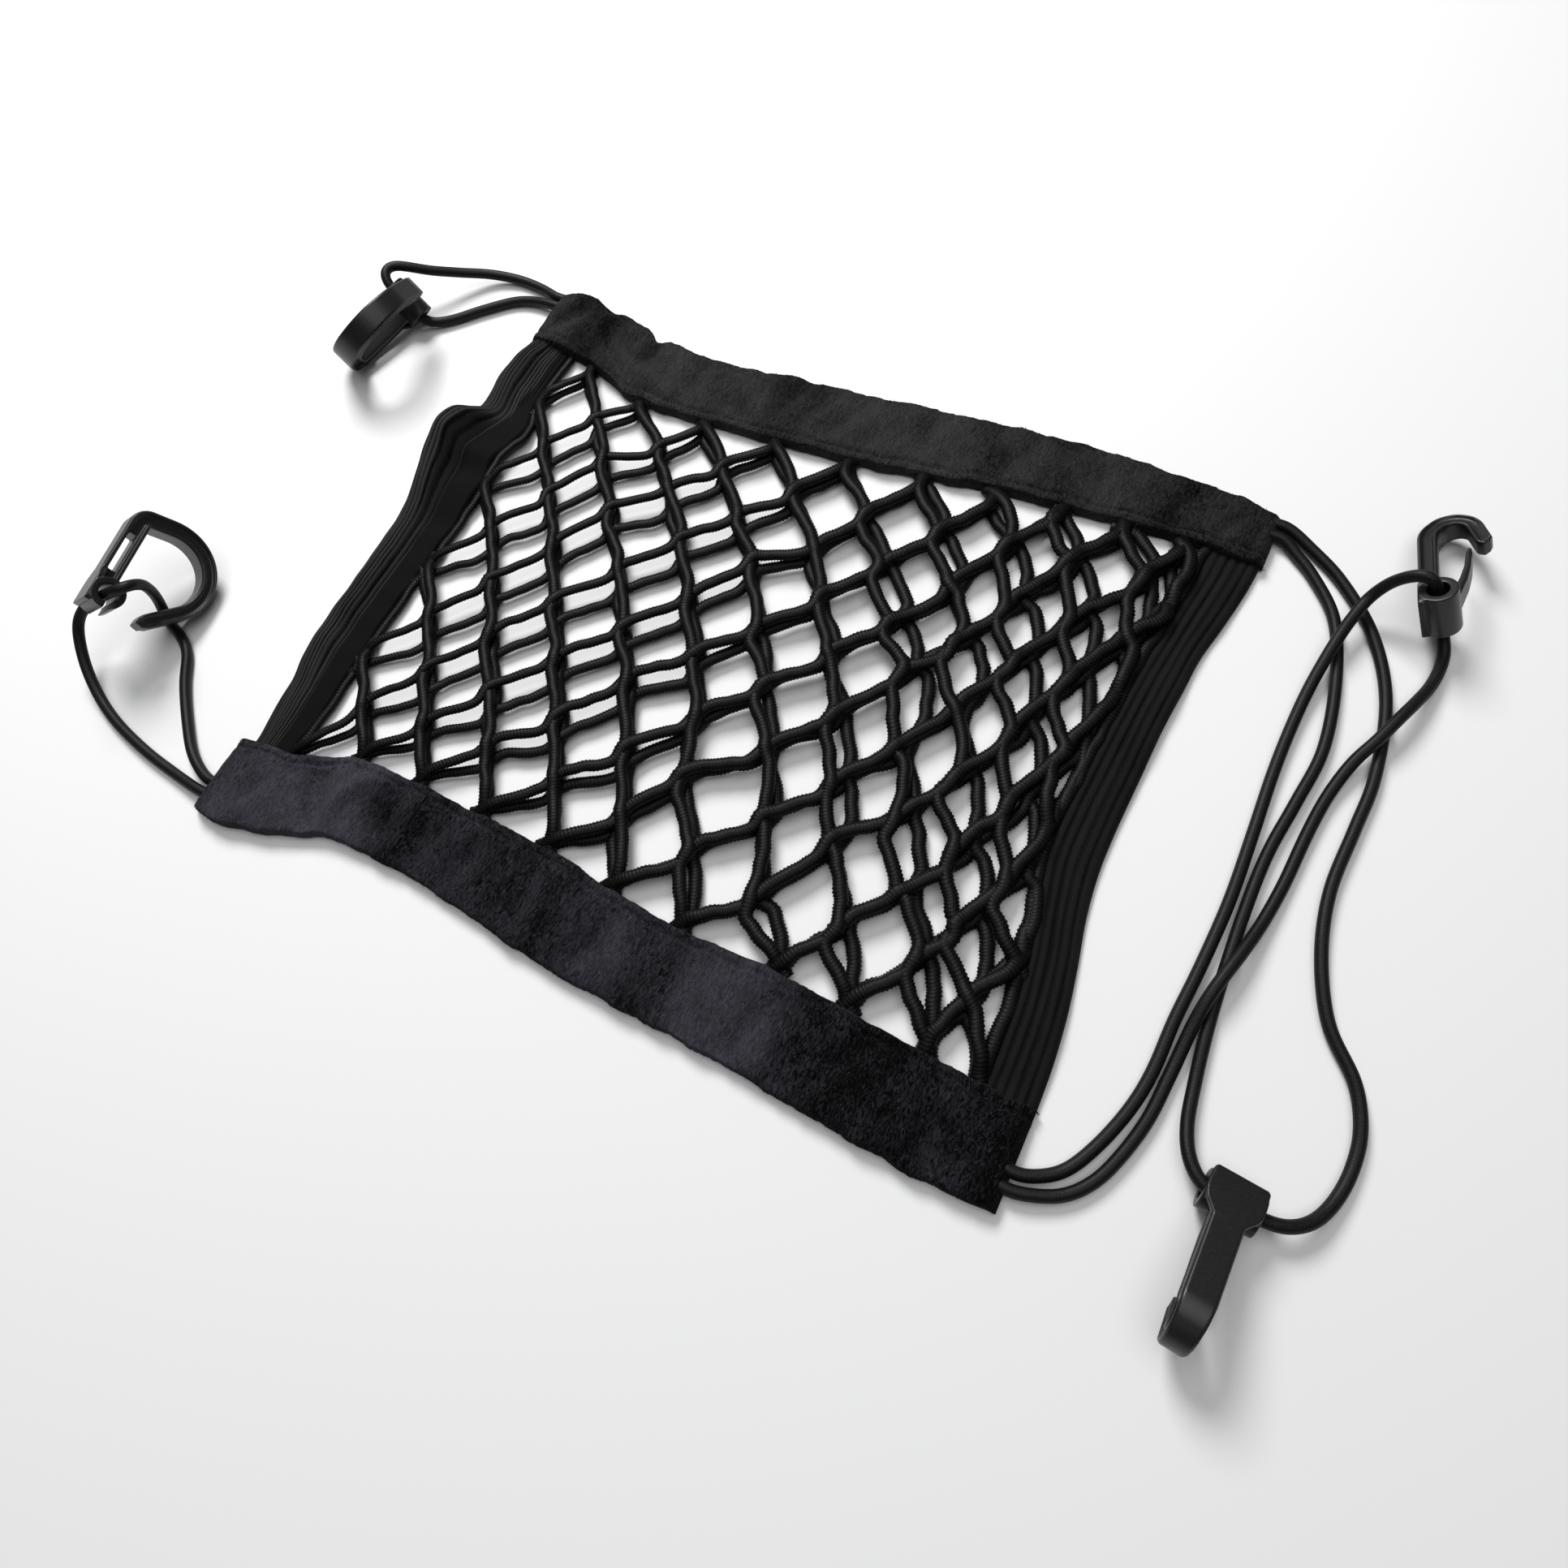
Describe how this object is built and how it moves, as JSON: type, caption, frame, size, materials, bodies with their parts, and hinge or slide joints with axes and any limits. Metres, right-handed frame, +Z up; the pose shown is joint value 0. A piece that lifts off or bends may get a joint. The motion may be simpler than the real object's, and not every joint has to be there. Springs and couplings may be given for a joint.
{
  "type": "seat back mesh organizer",
  "caption": "Elastic cord net in a frame of fleece and webbing bands, lying flat, with a cord loop and a clip-on plastic hook at each corner to hang it behind a seat.",
  "frame": {"origin": "on the surface under the middle of the net and its bands", "axes": "X along the fleece bands, Y from the bottom band to the top band, Z up from the surface"},
  "size_m": [0.4627, 0.2822, 0.0368],
  "materials": {
    "charcoal_fleece": "brushed fleece with a short streaked nap",
    "black_webbing": "ribbed woven elastic webbing",
    "elastic_strand": "cross-ridged elastic net strand",
    "elastic_cord": "smooth round braided elastic cord",
    "satin_plastic": "moulded plastic with a satin face"
  },
  "bodies": {
    "root": {"top_band": "charcoal_fleece", "bottom_band": "charcoal_fleece", "left_band": "black_webbing", "right_band": "black_webbing", "net_front": "elastic_strand", "net_back": "elastic_strand", "cord_top_left": "elastic_cord", "cord_bottom_left": "elastic_cord", "cord_top_right": "elastic_cord", "cord_bottom_right": "elastic_cord", "hook_top_left": "satin_plastic", "hook_bottom_left": "satin_plastic", "hook_top_right": "satin_plastic", "hook_bottom_right": "satin_plastic"}
  },
  "joints": []
}
